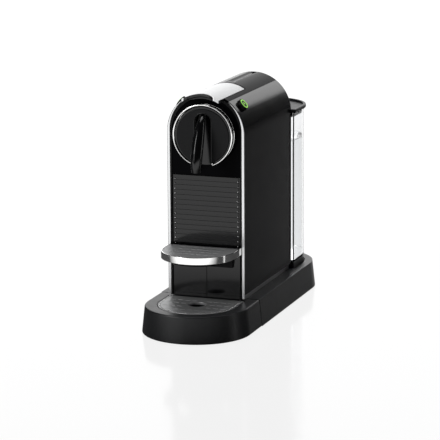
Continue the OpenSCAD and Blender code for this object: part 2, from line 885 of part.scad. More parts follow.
// Bright band round the support's edge.
module cup_support_rim() {
    color("#c4c5c6") difference() {
        tongue(support_r, support_cy, support_rear, support_z - rim_h, support_z);
        tongue(support_r - 1.6, support_cy, front_y + 1, support_z - rim_h - 1, support_z + 1);
    }
}

// Brushed plate on top of the support, with a row of drain slots.
module cup_support_grid() {
    color("#b4b5b7") difference() {
        tongue(support_r - 1.7, support_cy, front_y - 8, support_z - 1.2, support_z - 0.3);
        for (row = [-2:2], col = [-3:3]) if (norm([col * 8, min(row * 12, 0)]) < support_r - 9)
            translate([col * 8 - 3, support_cy + row * 12 - 0.7, support_z - 3]) cube([6, 1.4, 6]);
    }
}

// Hinge pin, fixed in the support and free in the ears.
module cup_support_pin() {
    color("#8d9093") translate([0, support_hinge_y, support_hinge_z])
        bar_x(-ear_x - ear_t - 4, ear_x + ear_t + 4, hinge_pin_r);
}

// Block on the front unit that carries the support's two ears.
module support_bracket() {
    z1 = support_z - rim_h - 2;
    color("#101113") both_sides() difference() {
        union() {
            translate([ear_x, front_y - 2, z1 - 10]) cube([ear_t, 2, support_z - z1 + 8]);
            translate([ear_x, support_hinge_y - 3, z1 - 6]) cube([ear_t, 4.6, 6]);
            translate([ear_x, support_hinge_y, z1 - 2]) cube([ear_t, 3.4, support_z - z1]);
            translate([0, support_hinge_y, support_hinge_z]) bar_x(ear_x, ear_x + ear_t, 3.2);
        }
        translate([0, support_hinge_y, support_hinge_z]) bar_x(-60, 60, hinge_pin_r + run);
    }
    color("#101113") translate([-33, front_y - 3, lower_z1]) cube([66, 3, z1 - lower_z1]);
}

// ---- water tank ----

// Clear tank, open at the top, with the outlet in its floor.
module water_tank() {
    color([0.9, 0.95, 1, 0.35]) difference() {
        tank_slab(tank_r, tank_front, tank_z0, tank_top);
        tank_slab(tank_r - tank_wall, tank_front + tank_wall, tank_z0 + tank_wall, tank_top + 1);
        translate([0, tank_cy, 0]) cylinder(r = 3, h = tank_z0 + 10);
    }
}

// Dark foot of the tank with its outlet stub.
module tank_base_ring() {
    color("#101113") difference() {
        union() {
            tank_slab(tank_r - 0.4, tank_front + 0.2, seat_z + 0.3, tank_z0);
            translate([0, tank_cy, seat_z - 4]) cylinder(r = valve_r - 3 - gap, h = 6);
        }
        translate([0, tank_cy, 0]) cylinder(r = 3, h = tank_z0 + 1);
    }
}

// Lid with a raised rim, a sunken top and a plug that centres it in the tank.
module tank_lid() {
    color("#2a2b2d") difference() {
        union() {
            tank_slab(tank_r + lid_over, tank_front - 1.4, tank_top, lid_z1);
            tank_slab(tank_r - tank_wall - gap, tank_front + tank_wall + gap, tank_top - 6, tank_top + 1);
        }
        tank_slab(tank_r - 1.5, tank_front + 3, lid_z1 - 2.4, lid_z1 + 1);
    }
}

base_plinth();
base_bottom_plate();
rubber_feet();
base_screws();
cable_gland();
side_panel_left();
side_panel_right();
top_cover();
rear_panel();
body_screws();
front_frame();
front_fascia();
trim_strip_left();
trim_strip_right();
head_housing();
head_ring_rear();
head_ring_front();
head_disc();
spout();
internal_frame();
brew_housing();
brew_front_plate();
thermoblock();
heater_element();
thermostats();
pump();
pump_mounts();
flow_meter_housing();
flow_meter_rotor();
water_hoses();
control_board();
button_switches();
tank_seat();
tank_seal();
lever_plate();
lever_grip();
lever_cams();
lever_axle();
brew_carriage();
injection_needles();
carriage_pin();
espresso_button();
espresso_light_ring();
lungo_button();
lungo_light_ring();
drip_base();
drip_feet();
drip_tray();
drip_grid();
capsule_container();
fin_panel();
lower_panel();
support_bracket();
cup_support_tray();
cup_support_rim();
cup_support_grid();
cup_support_pin();
water_tank();
tank_base_ring();
tank_lid();
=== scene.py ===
"""Looks of a pod coffee machine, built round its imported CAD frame. Lengths are in metres."""
import json
import math

import bmesh
import bpy
from mathutils import Matrix, Vector


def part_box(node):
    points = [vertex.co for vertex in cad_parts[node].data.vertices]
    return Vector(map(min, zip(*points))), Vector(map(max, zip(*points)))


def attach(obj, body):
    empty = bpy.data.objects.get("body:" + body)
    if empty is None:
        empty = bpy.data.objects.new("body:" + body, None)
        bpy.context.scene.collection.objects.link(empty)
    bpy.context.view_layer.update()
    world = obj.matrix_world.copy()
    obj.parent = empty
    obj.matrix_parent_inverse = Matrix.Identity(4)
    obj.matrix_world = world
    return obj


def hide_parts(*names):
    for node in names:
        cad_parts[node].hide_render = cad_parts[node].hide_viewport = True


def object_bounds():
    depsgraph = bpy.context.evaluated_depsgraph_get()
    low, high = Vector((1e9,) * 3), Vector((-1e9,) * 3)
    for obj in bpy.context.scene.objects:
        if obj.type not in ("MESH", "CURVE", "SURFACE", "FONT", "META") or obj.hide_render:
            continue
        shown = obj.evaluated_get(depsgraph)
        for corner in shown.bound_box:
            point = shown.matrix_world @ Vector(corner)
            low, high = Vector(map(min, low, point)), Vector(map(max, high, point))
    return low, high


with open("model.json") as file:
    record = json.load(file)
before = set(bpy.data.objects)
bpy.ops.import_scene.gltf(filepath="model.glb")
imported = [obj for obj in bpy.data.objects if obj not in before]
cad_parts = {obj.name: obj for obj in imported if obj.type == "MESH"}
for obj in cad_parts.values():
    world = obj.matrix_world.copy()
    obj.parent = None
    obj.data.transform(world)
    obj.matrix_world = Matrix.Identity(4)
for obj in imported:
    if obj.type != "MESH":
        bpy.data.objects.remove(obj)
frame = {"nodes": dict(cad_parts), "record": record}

CAD_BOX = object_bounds()
NODES = frame["nodes"]
MM = 0.001

# ---- places taken from the frame ----

DISC_LO, DISC_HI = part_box("head_disc")
HEAD_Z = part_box("head_ring_rear")[0].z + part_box("head_ring_rear")[1].x
BODY_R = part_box("side_panel_right")[1].x
ARCH_Z = CAD_BOX[1].z - BODY_R
RECESS_HALF = 10.5 * MM
# SCOOP_BACK and SCOOP_R place the painted scoop shade and its painted highlight on the lever.
SCOOP_BACK = 12 * MM
SCOOP_R = 21 * MM
SHOULDER_ANGLE = math.radians(50)
BUTTON_OUT = 3.8 * MM
TANK_WALL = 2.2 * MM
WATER_FILM = 0.05 * MM
WATER_SHARE = 0.81
FIN_PITCH = 5.9 * MM
BEAD_PITCH = 2.6 * MM
BEAD_INSET = 2.2 * MM

# ---- camera and stage ----

CAMERA_PLACE = (0.8986, -2.5602, 0.6914)
CAMERA_TURN = math.radians(19.635)
CAMERA_DIP = math.radians(12.125)
CAMERA_ROLL = math.radians(-0.351)
FLOOR_HALF = 7.0
FLOOR_FRONT = -6.0
BEND_Y = 3.5
BEND_R = 2.0
BACKDROP_TOP = 7.0


# ---- node material helpers ----

def new_material(name):
    """A material with an empty tree but for its output and shader."""
    mat = bpy.data.materials.new(name)
    mat.use_nodes = True
    tree = mat.node_tree
    shader = tree.nodes["Principled BSDF"]
    return mat, tree, shader


def object_coords(tree, scale=(1, 1, 1)):
    """Object coordinates stretched by scale."""
    coord = tree.nodes.new("ShaderNodeTexCoord")
    mapping = tree.nodes.new("ShaderNodeMapping")
    mapping.inputs["Scale"].default_value = scale
    tree.links.new(coord.outputs["Object"], mapping.inputs["Vector"])
    return mapping.outputs["Vector"]


def noise(tree, scale, detail=3.0, stretch=(1, 1, 1), rough=0.5):
    """A noise texture's factor over object coordinates."""
    tex = tree.nodes.new("ShaderNodeTexNoise")
    tex.inputs["Scale"].default_value = scale
    tex.inputs["Detail"].default_value = detail
    tex.inputs["Roughness"].default_value = rough
    tree.links.new(object_coords(tree, stretch), tex.inputs["Vector"])
    return tex.outputs["Fac"]


def ramp(tree, fac, low, high, start=0.3, end=0.7):
    """A two-colour ramp driven by fac."""
    node = tree.nodes.new("ShaderNodeValToRGB")
    node.color_ramp.elements[0].position = start
    node.color_ramp.elements[0].color = (*low, 1)
    node.color_ramp.elements[1].position = end
    node.color_ramp.elements[1].color = (*high, 1)
    tree.links.new(fac, node.inputs["Fac"])
    return node.outputs["Color"]


def value_range(tree, fac, low, high):
    """Maps a factor to a range of values."""
    node = tree.nodes.new("ShaderNodeMapRange")
    node.inputs["To Min"].default_value = low
    node.inputs["To Max"].default_value = high
    tree.links.new(fac, node.inputs["Value"])
    return node.outputs["Result"]


def bump(tree, shader, height, strength, distance):
    """Links a height to the shader's normal."""
    node = tree.nodes.new("ShaderNodeBump")
    node.inputs["Strength"].default_value = strength
    node.inputs["Distance"].default_value = distance
    tree.links.new(height, node.inputs["Height"])
    tree.links.new(node.outputs["Normal"], shader.inputs["Normal"])


def edge_wear(tree):
    """White along convex edges, from the surface's pointiness."""
    geometry = tree.nodes.new("ShaderNodeNewGeometry")
    node = tree.nodes.new("ShaderNodeMapRange")
    node.inputs["From Min"].default_value = 0.5
    node.inputs["From Max"].default_value = 0.62
    tree.links.new(geometry.outputs["Pointiness"], node.inputs["Value"])
    return node.outputs["Result"]


def mix_colours(tree, fac, first, second):
    """Mixes two colour outputs (or plain colours) by fac."""
    node = tree.nodes.new("ShaderNodeMix")
    node.data_type = "RGBA"
    tree.links.new(fac, node.inputs["Factor"])
    for socket, colour in ((node.inputs[6], first), (node.inputs[7], second)):
        if isinstance(colour, tuple):
            socket.default_value = (*colour, 1)
        else:
            tree.links.new(colour, socket)
    return node.outputs[2]


def plastic(name, colour, rough, grain=0.0, grain_scale=2500.0, coat=0.0, wear=0.25, spread=0.25, ior=1.5):
    """Moulded plastic: slight tone changes, a fine grain, handled roughness and lighter edges."""
    mat, tree, shader = new_material(name)
    low = tuple(c * (1 - spread) for c in colour)
    high = tuple(c * (1 + spread) for c in colour)
    tone = ramp(tree, noise(tree, 26, 4), low, high)
    worn = tuple(min(1.0, c * (1 + 3 * wear) + 0.01 * wear) for c in colour)
    tree.links.new(mix_colours(tree, edge_wear(tree), tone, worn), shader.inputs["Base Color"])
    smudge = noise(tree, 60, 5, rough=0.6)
    tree.links.new(value_range(tree, smudge, rough[0], rough[1]), shader.inputs["Roughness"])
    shader.inputs["IOR"].default_value = ior
    shader.inputs["Coat Weight"].default_value = coat
    shader.inputs["Coat Roughness"].default_value = 0.03
    if grain:
        bump(tree, shader, noise(tree, grain_scale, 2), grain, 0.00006)
    return mat


def metal(name, colour, rough, brush=None, brush_strength=0.0, spread=0.06, share=1.0):
    """Metal, polished or brushed along one direction; share is how metallic it is."""
    mat, tree, shader = new_material(name)
    low = tuple(c * (1 - spread) for c in colour)
    high = tuple(min(1, c * (1 + spread)) for c in colour)
    stretch = brush or (1, 1, 1)
    streaks = noise(tree, 40, 6, stretch, 0.65)
    tree.links.new(ramp(tree, streaks, low, high, 0.25, 0.75), shader.inputs["Base Color"])
    shader.inputs["Metallic"].default_value = share
    tree.links.new(value_range(tree, streaks, rough[0], rough[1]), shader.inputs["Roughness"])
    if brush_strength:
        bump(tree, shader, streaks, brush_strength, 0.00005)
    return mat


def clear_plastic(name, tint, ior, rough):
    """Clear moulded plastic or water, with faint waviness."""
    mat, tree, shader = new_material(name)
    shader.inputs["Transmission Weight"].default_value = 1.0
    shader.inputs["IOR"].default_value = ior
    cloud = noise(tree, 12, 3)
    tree.links.new(ramp(tree, cloud, tuple(0.985 * c for c in tint), tint), shader.inputs["Base Color"])
    tree.links.new(value_range(tree, cloud, rough, rough * 2 + 0.001), shader.inputs["Roughness"])
    return mat


def glowing(name, colour, strength):
    """A lit diffuser, a little uneven."""
    mat, tree, shader = new_material(name)
    tone = ramp(tree, noise(tree, 500, 2), tuple(c * 0.75 for c in colour), colour)
    tree.links.new(tone, shader.inputs["Base Color"])
    tree.links.new(tone, shader.inputs["Emission Color"])
    shader.inputs["Emission Strength"].default_value = strength
    shader.inputs["Roughness"].default_value = 0.35
    return mat


def painted_scoop_silver_material(name, node):
    """Brushed silver whose front runs into a finger scoop painted on as dark glossy shade, with a fine
    painted highlight along its edge.
    """
    mat, tree, shader = new_material(name)
    lo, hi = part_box("lever_plate")
    centre = node.matrix_world.inverted() @ Vector((-2 * MM, lo.y + SCOOP_BACK - SCOOP_R, 0.0))
    coord = tree.nodes.new("ShaderNodeTexCoord")
    flat = tree.nodes.new("ShaderNodeVectorMath")
    flat.operation = "MULTIPLY"
    flat.inputs[1].default_value = (1, 1, 0)
    tree.links.new(coord.outputs["Object"], flat.inputs[0])
    away = tree.nodes.new("ShaderNodeVectorMath")
    away.operation = "DISTANCE"
    away.inputs[1].default_value = (centre.x, centre.y, 0)
    tree.links.new(flat.outputs[0], away.inputs[0])
    steps = {}
    # The "dark" step ends the painted scoop shade; the "silver" step ends the painted highlight band.
    for edge, radius in (("dark", SCOOP_R - 0.8 * MM), ("silver", SCOOP_R)):
        node_step = tree.nodes.new("ShaderNodeMapRange")
        node_step.inputs["From Min"].default_value = radius - 0.15 * MM
        node_step.inputs["From Max"].default_value = radius + 0.15 * MM
        tree.links.new(away.outputs["Value"], node_step.inputs["Value"])
        steps[edge] = node_step.outputs["Result"]
    streaks = noise(tree, 40, 6, BRUSH_Y, 0.65)
    silver = ramp(tree, streaks, (0.50, 0.505, 0.51), (0.60, 0.605, 0.61), 0.25, 0.75)
    # Painted highlight: a near-white band 0.8 mm wide along the painted scoop's edge.
    silver_with_painted_highlight = mix_colours(tree, steps["silver"], (0.9, 0.9, 0.89), silver)
    # Painted shade: near-black fills the unmodelled scoop.
    tree.links.new(mix_colours(tree, steps["dark"], (0.006, 0.006, 0.007), silver_with_painted_highlight),
                   shader.inputs["Base Color"])
    tree.links.new(steps["dark"], shader.inputs["Metallic"])
    tree.links.new(value_range(tree, streaks, 0.2, 0.3), shader.inputs["Roughness"])
    return mat


BRUSH_Y = (60, 1, 60)
BRUSH_X = (1, 60, 60)
MATS = {
    "satin_black_plastic": plastic("satin_black_plastic", (0.013, 0.0135, 0.015), (0.32, 0.42), 0.35),
    "piano_black": plastic("piano_black", (0.002, 0.002, 0.0026), (0.10, 0.16), wear=0.1, ior=1.45),
    "cover_black": plastic("cover_black", (0.003, 0.003, 0.004), (0.12, 0.18), wear=0.1, ior=1.07),
    "matte_black_plastic": plastic("matte_black_plastic", (0.004, 0.004, 0.0045), (0.40, 0.52), 0.3,
                                   ior=1.25),
    "charcoal_disc": plastic("charcoal_disc", (0.007, 0.0072, 0.008), (0.30, 0.4), 0.5, 1800, ior=1.25),
    "bright_trim": metal("bright_trim", (0.86, 0.86, 0.85), (0.07, 0.13)),
    "satin_silver": metal("satin_silver", (0.74, 0.745, 0.75), (0.24, 0.34), BRUSH_Y, 0.12),
    "brushed_grid": metal("brushed_grid", (0.50, 0.505, 0.51), (0.34, 0.48), BRUSH_X, 0.35, 0.2, 0.6),
    "clear_tank": clear_plastic("clear_tank", (0.985, 0.99, 0.995), 1.15, 0.0),
    "rubber": plastic("rubber", (0.012, 0.012, 0.012), (0.65, 0.8), 0.6, 900),
    "zinc_steel": metal("zinc_steel", (0.48, 0.49, 0.5), (0.3, 0.45), (1, 1, 1), 0.1),
    "cast_block": metal("cast_block", (0.55, 0.56, 0.57), (0.5, 0.65), (1, 1, 1), 0.5),
    "brass_fittings": metal("brass_fittings", (0.66, 0.5, 0.26), (0.25, 0.4), (1, 30, 30), 0.1),
    "grey_plastic": plastic("grey_plastic", (0.05, 0.05, 0.055), (0.45, 0.6), 0.5, 1400),
    "white_plastic": plastic("white_plastic", (0.7, 0.7, 0.67), (0.35, 0.45), 0.2),
    "silicone_hose": plastic("silicone_hose", (0.6, 0.57, 0.5), (0.3, 0.45), 0.1),
    "circuit_green": plastic("circuit_green", (0.02, 0.11, 0.045), (0.25, 0.4), 0.2, 600, 0.3),
    "light_ring": glowing("light_ring", (0.30, 0.72, 0.10), 0.9),
    "water": clear_plastic("water", (0.975, 0.985, 0.99), 1.12, 0.0),
}

# The lever's silver, with a painted scoop shade and a painted highlight.
MATS["lever_silver_painted_scoop"] = painted_scoop_silver_material("lever_silver_painted_scoop", NODES["lever_plate"])


# ---- mesh helpers ----

def add_object(name, mesh, body, slot, mat=None):
    """Links a mesh as a piece that rides on a body."""
    obj = bpy.data.objects.new(name, mesh)
    bpy.context.scene.collection.objects.link(obj)
    obj.data.materials.append(MATS[mat or slot])
    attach(obj, body)
    return obj


def from_bmesh(name, bm, body, slot, mat=None, smooth=40):
    """Turns a bmesh into a piece, shaded smooth below an angle."""
    bmesh.ops.remove_doubles(bm, verts=bm.verts, dist=1e-6)
    bmesh.ops.recalc_face_normals(bm, faces=bm.faces)
    for face in bm.faces:
        face.smooth = True
    limit = math.radians(smooth)
    for edge in bm.edges:
        if len(edge.link_faces) == 2 and edge.calc_face_angle(0) > limit:
            edge.smooth = False
    mesh = bpy.data.meshes.new(name)
    bm.to_mesh(mesh)
    bm.free()
    return add_object(name, mesh, body, slot, mat)


def bevel(obj, width):
    """Rounds an object's sharp edges."""
    mod = obj.modifiers.new("round", "BEVEL")
    mod.width = width
    mod.segments = 3
    mod.limit_method = "ANGLE"
    mod.angle_limit = math.radians(35)
    mod.harden_normals = True
    return mod


def loft(bm, rings):
    """Skins rings of equal length, each a list of points, and closes both ends."""
    rows = [[bm.verts.new(p) for p in ring] for ring in rings]
    count = len(rows[0])
    for low, high in zip(rows, rows[1:]):
        for k in range(count):
            bm.faces.new((low[k], low[(k + 1) % count], high[(k + 1) % count], high[k]))
    bm.faces.new(list(reversed(rows[0])))
    bm.faces.new(rows[-1])


def prism(bm, outline, depth):
    """A closed prism: outline is a list of points, depth the vector to its far face."""
    loft(bm, [outline, [Vector(p) + Vector(depth) for p in outline]])


def lathe(bm, profile, centre, axis="y", steps=96, start=0.0, sweep=2 * math.pi):
    """Turns a closed (radius, along) profile about an axis through centre."""
    full = abs(sweep - 2 * math.pi) < 1e-6
    count = steps if full else steps + 1
    rows = []
    for k in range(count):
        a = start + sweep * k / steps
        c, s = math.cos(a), math.sin(a)
        row = []
        for r, along in profile:
            if axis == "y":
                p = (centre[0] + r * c, centre[1] + along, centre[2] + r * s)
            else:
                p = (centre[0] + r * c, centre[1] + r * s, centre[2] + along)
            row.append(bm.verts.new(p))
        rows.append(row)
    size = len(profile)
    pairs = list(zip(rows, rows[1:] + ([rows[0]] if full else [])))
    for low, high in pairs[:count if full else steps]:
        for k in range(size):
            bm.faces.new((low[k], low[(k + 1) % size], high[(k + 1) % size], high[k]))
    if not full:
        bm.faces.new(rows[0])
        bm.faces.new(list(reversed(rows[-1])))


def rounded(profile_w, profile_h, r, steps=5):
    """A rounded rectangle as (u, v) points about its centre."""
    points = []
    for cx, cy, a0 in ((1, 1, 0), (-1, 1, 90), (-1, -1, 180), (1, -1, 270)):
        for k in range(steps + 1):
            a = math.radians(a0 + 90 * k / steps)
            points.append((cx * (profile_w / 2 - r) + r * math.cos(a),
                           cy * (profile_h / 2 - r) + r * math.sin(a)))
    return points


# ---- CAD nodes: finish and rounded edges ----

def finish_cad_nodes():
    """Gives every CAD node its record material and soft edges."""
    slots = {row["node"]: row["material_slot"] for row in frame["record"]["subparts"]}
    rounding = {
        "base_plinth": 1.6, "drip_base": 1.6, "side_panel_left": 0.6, "side_panel_right": 0.6,
        "top_cover": 0.5, "tank_lid": 1.2, "water_tank": 0.8, "tank_base_ring": 0.8,
        "cup_support_rim": 0.45, "lever_plate": 0.9, "head_disc": 0.5, "drip_grid": 0.25,
        "cup_support_grid": 0.2, "fin_panel": 0.5, "espresso_button": 0.7, "lungo_button": 0.7,
    }
    special = {"top_cover": "cover_black", "lever_plate": "lever_silver_painted_scoop", "front_fascia": "cover_black"}
    curved = ("side_panel_left", "side_panel_right", "top_cover", "lever_plate", "cup_support_rim",
              "base_plinth", "drip_base", "tank_lid", "water_tank", "tank_base_ring")
    for name, node in NODES.items():
        node.data.materials.clear()
        node.data.materials.append(MATS[special.get(name, slots[name])])
        weld = node.modifiers.new("weld", "WELD")
        weld.merge_threshold = 1e-6
        flat = node.modifiers.new("whole_faces", "DECIMATE")
        flat.decimate_type = "DISSOLVE"
        flat.angle_limit = math.radians(0.4)
        round_edges = bevel(node, rounding.get(name, 0.3) * MM)
        if name in curved:
            round_edges.harden_normals = False
            even = node.modifiers.new("even_normals", "WEIGHTED_NORMAL")
            even.keep_sharp = True


# ---- head and spout ----

def spout_outline(across, depth, keel, steps=40):
    """One section of the tusk: an oval whose front draws out into a soft keel."""
    ring = []
    for k in range(steps):
        a = 2 * math.pi * k / steps
        front = max(0.0, -math.sin(a))
        ring.append((across * math.cos(a), depth * math.sin(a) - keel * front ** 6))
    return ring


def smooth_path(points, count):
    """Points spread along a Catmull-Rom curve through tuples of any length."""
    out = []
    last = len(points) - 1
    for k in range(count + 1):
        t = last * k / count
        i = min(int(t), last - 1)
        u = t - i
        p0, p1, p2, p3 = (points[max(0, min(last, i + d))] for d in (-1, 0, 1, 2))
        out.append(tuple(0.5 * (2 * b + (c - a) * u + (2 * a - 5 * b + 4 * c - d) * u * u
                                + (3 * b - a - 3 * c + d) * u ** 3)
                         for a, b, c, d in zip(p0, p1, p2, p3)))
    return out


def make_spout():
    """The curved spout: a keeled tusk that comes out of the recess and ends in a hollow mouth."""
    lo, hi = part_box("spout")
    mouth_y = lo.y + 6.9 * MM
    span = hi.z - lo.z
    # share of the height from the mouth, distance behind the mouth's axis, half width, half depth, keel
    stations = [(0.0, 0.0, 5.9, 5.2, 1.2), (0.12, -0.1, 6.6, 5.9, 1.6), (0.32, 2.2, 7.0, 6.5, 1.8),
                (0.53, 6.8, 6.9, 6.6, 1.6), (0.72, 12.2, 6.1, 6.3, 1.0), (0.88, 17.6, 4.6, 5.2, 0.5),
                (0.985, 23.0, 2.2, 3.2, 0.0)]
    rings = []
    for share, back, across, depth, keel in smooth_path(stations, 30):
        z = lo.z + span * share
        rings.append([Vector((u * MM, mouth_y + (back + v) * MM, z + 0.16 * v * MM * share * 2))
                      for u, v in spout_outline(across, depth, keel)])
    mouth = rings[0]
    centre = Vector((0, mouth_y, lo.z))
    inner = [centre + (p - centre) * 0.62 for p in mouth]
    deep = [p + Vector((0, 0, 7 * MM)) for p in inner]
    bm = bmesh.new()
    loft(bm, [deep, inner] + rings)
    spout = from_bmesh("spout_tusk", bm, "machine", "piano_black", smooth=60)
    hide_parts("spout")


def make_head_rings():
    """Two bright rings with rounded sections; the front one is open at the recess."""
    for name, node, gap_deg in (("head_ring_front_bright", "head_ring_front", 19.5),
                                ("head_ring_rear_bright", "head_ring_rear", 13.0)):
        lo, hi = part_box(node)
        outer = hi.x
        width = (2.1 if gap_deg > 15 else 1.4) * MM
        depth = hi.y - lo.y
        mid = outer - width / 2
        profile = [(mid + u, lo.y + depth / 2 + v)
                   for u, v in rounded(width, depth, 0.48 * width)]
        half = math.radians(gap_deg)
        bm = bmesh.new()
        lathe(bm, profile, (0, 0, HEAD_Z), steps=120, start=-math.pi / 2 + half,
              sweep=2 * math.pi - 2 * half)
        ring = from_bmesh(name, bm, "machine", "bright_trim", smooth=60)
        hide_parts(node)


def make_recess_lip():
    """A fine glossy lip along the recess: straight sides and a half circle on top."""
    half = RECESS_HALF
    centre_z = HEAD_Z + 16 * MM
    foot_z = HEAD_Z - math.sqrt(DISC_HI.x ** 2 - half ** 2)
    path = [(-half, foot_z), (-half, (foot_z + centre_z) / 2)]
    path += [(half * math.cos(a), centre_z + half * math.sin(a))
             for a in (math.pi * (1 - k / 24) for k in range(25))]
    path += [(half, (foot_z + centre_z) / 2), (half, foot_z)]
    section = rounded(0.7, 0.8, 0.3, 3)
    bm = bmesh.new()
    rings = []
    for k, (x, z) in enumerate(path):
        before = path[max(0, k - 1)]
        after = path[min(len(path) - 1, k + 1)]
        along = Vector((after[0] - before[0], 0, after[1] - before[1])).normalized()
        out = Vector((-along.z, 0, along.x))
        centre = Vector((x, DISC_LO.y, z))
        rings.append([centre + out * (u * MM) + Vector((0, v * MM, 0)) for u, v in section])
    loft(bm, rings)
    from_bmesh("recess_lip", bm, "machine", "piano_black", smooth=60)


# ---- lever ----

def make_finger_lip():
    """The rounded dark lip across the lever's nose, in front of its painted scoop shade."""
    lo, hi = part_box("lever_grip")
    rows = []
    reach = hi.x + 1.5 * MM
    for k in range(33):
        s = -1 + 2 * k / 32
        x = reach * s
        top = ARCH_Z + math.sqrt((BODY_R - 1.2 * MM) ** 2 - x * x)
        y = lo.y + 2.2 * MM + 1.5 * MM * (1 - s * s)
        size = 1.0 - 0.55 * abs(s) ** 6
        ring = []
        for u, v in rounded(7.5 * size, 3.4 * size, 1.6 * size):
            ring.append(Vector((x, y + u * MM, top - 2.6 * MM + v * MM + 0.25 * u * MM)))
        rows.append(ring)
    bm = bmesh.new()
    loft(bm, rows)
    lip = from_bmesh("lever_finger_lip", bm, "lever", "satin_black_plastic", "piano_black", smooth=60)
    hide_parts("lever_grip")


# ---- front unit ----

def make_fin_highlight_pegs():
    """Small rounded silver pegs at both ends of each rib's gap: painted highlights, standing in for the
    glints at the grooves' rounded ends.
    """
    lo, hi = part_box("fin_panel")
    radius = 0.75 * MM
    profile = [(0.0, 0.0), (radius, 0.0), (radius, -1.0 * MM), (0.7 * radius, -1.35 * MM),
               (0.0, -1.45 * MM)]
    bm = bmesh.new()
    z = hi.z - 4.6 * MM
    while z > lo.z + 2 * MM:
        for x in (lo.x + 2.6 * MM, hi.x - 2.6 * MM):
            lathe(bm, [(max(r, 1e-5), a) for r, a in profile], (x, lo.y + 1.3 * MM, z), steps=14)
        z -= FIN_PITCH
    # Satin silver pegs as painted highlights at the groove ends.
    from_bmesh("fin_highlight_pegs", bm, "drip_unit", "satin_silver", smooth=50)


def make_grid_beads():
    """The grid's dotted bright edge: beads along its round front."""
    lo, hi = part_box("drip_grid")
    radius = hi.x - BEAD_INSET
    centre = Vector((0, lo.y + hi.x, hi.z))
    bm = bmesh.new()
    count = int(math.pi / (BEAD_PITCH / radius))
    spots = [(radius * math.cos(a), radius * math.sin(a))
             for a in (math.pi * (1 + k / count) for k in range(count + 1))]
    side = int((hi.y - centre.y) / BEAD_PITCH)
    spots += [(s * radius, (k + 1) * BEAD_PITCH) for k in range(side - 1) for s in (-1, 1)]
    for x, y in spots:
        bead = [(0.75 * MM, -0.1 * MM), (0.62 * MM, 0.18 * MM), (0.3 * MM, 0.3 * MM), (1e-5, 0.32 * MM),
                (1e-5, -0.1 * MM)]
        lathe(bm, bead, (centre.x + x, centre.y + y, centre.z), axis="z", steps=10)
    from_bmesh("grid_edge_beads", bm, "grid", "bright_trim", smooth=60)


# ---- buttons ----

def shoulder_frame(node):
    """The button's face centre and its three directions: across, along Y and outward."""
    side = 1 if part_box(node)[0].x > 0 else -1
    out = Vector((side * math.sin(SHOULDER_ANGLE), 0, math.cos(SHOULDER_ANGLE)))
    along = Vector((0, 1, 0))
    across = along.cross(out)
    lo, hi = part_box(node)
    centre = Vector((0, (lo.y + hi.y) / 2, ARCH_Z)) + out * (BODY_R + BUTTON_OUT)
    return centre, across, along, out


def make_cup_icon(node, body, name, tall):
    """A generic cup outline raised a little on a button's face."""
    centre, across, along, out = shoulder_frame(node)
    w, h = (2.2, 1.9) if not tall else (1.9, 2.7)
    outline = [(-w / 2, h / 2), (w / 2, h / 2), (w / 2 * 0.75, -h / 2), (-w / 2 * 0.75, -h / 2)]
    handle = [(w / 2 + 0.75 * math.cos(a), 0.15 + 0.62 * math.sin(a))
              for a in (math.radians(d) for d in range(-80, 81, 20))]
    handle += [(w / 2 + 0.42 * math.cos(a), 0.15 + 0.34 * math.sin(a))
               for a in (math.radians(d) for d in range(80, -81, -20))]
    saucer = [(-1.6, -h / 2 - 0.75), (1.6, -h / 2 - 0.75), (1.3, -h / 2 - 0.4), (-1.3, -h / 2 - 0.4)]
    bm = bmesh.new()
    for shape in (outline, handle, saucer):
        ring = [centre + along * (-u * MM) + across * (v * MM) - out * (0.05 * MM) for u, v in shape]
        prism(bm, ring, out * (0.17 * MM))
    from_bmesh(name, bm, body, "light_ring", smooth=30)


# ---- tank ----

def make_water():
    """Water in the tank, with a slight rise where it meets the wall."""
    lo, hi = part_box("water_tank")
    wall = TANK_WALL + WATER_FILM
    radius = hi.x - wall
    cy = hi.y - hi.x
    front = lo.y + wall
    level = lo.z + WATER_SHARE * (hi.z - lo.z)

    def outline(inset, z):
        r = radius - inset
        ring = [Vector((r, front + inset, z))]
        ring += [Vector((r * math.cos(a), cy + r * math.sin(a), z))
                 for a in (math.pi * k / 64 for k in range(65))]
        ring.append(Vector((-r, front + inset, z)))
        return ring

    floor = lo.z + wall
    bm = bmesh.new()
    loft(bm, [outline(0.0, floor), outline(0.0, level + 0.9 * MM), outline(0.5 * MM, level + 0.3 * MM),
              outline(1.4 * MM, level)])
    from_bmesh("tank_water", bm, "tank", "clear_tank", "water", smooth=50)


def make_lid_ridge():
    """A finger ridge in the lid's sunken top."""
    lo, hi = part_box("tank_lid")
    centre_y = (lo.y + hi.y) / 2
    bm = bmesh.new()
    rows = []
    for k in range(25):
        s = -1 + 2 * k / 24
        width = (5.0 - 2.2 * abs(s) ** 4) * MM
        height = 1.9 * MM * math.sqrt(max(0.02, 1 - s ** 6))
        z0 = hi.z - 2.5 * MM
        x = 26 * MM * s
        arch = [(-1, 0), (-0.7, 0.7), (0, 1), (0.7, 0.7), (1, 0)]
        rows.append([Vector((x, centre_y + u * width, z0 + v * height)) for u, v in arch])
    loft(bm, rows)
    from_bmesh("lid_finger_ridge", bm, "lid", "charcoal_disc", smooth=60)


# ---- stage ----

def front_part(tree):
    """One where a glossy ray meets the floor ahead, so the bright trim has light to show."""
    path = tree.nodes.new("ShaderNodeLightPath")
    coord = tree.nodes.new("ShaderNodeTexCoord")
    split = tree.nodes.new("ShaderNodeSeparateXYZ")
    tree.links.new(coord.outputs["Object"], split.inputs[0])
    ahead = tree.nodes.new("ShaderNodeMapRange")
    ahead.inputs["From Min"].default_value = -0.22
    ahead.inputs["From Max"].default_value = -0.42
    tree.links.new(split.outputs["Y"], ahead.inputs["Value"])
    both = tree.nodes.new("ShaderNodeMath")
    both.operation = "MULTIPLY"
    tree.links.new(ahead.outputs["Result"], both.inputs[0])
    tree.links.new(path.outputs["Is Glossy Ray"], both.inputs[1])
    return both.outputs[0]


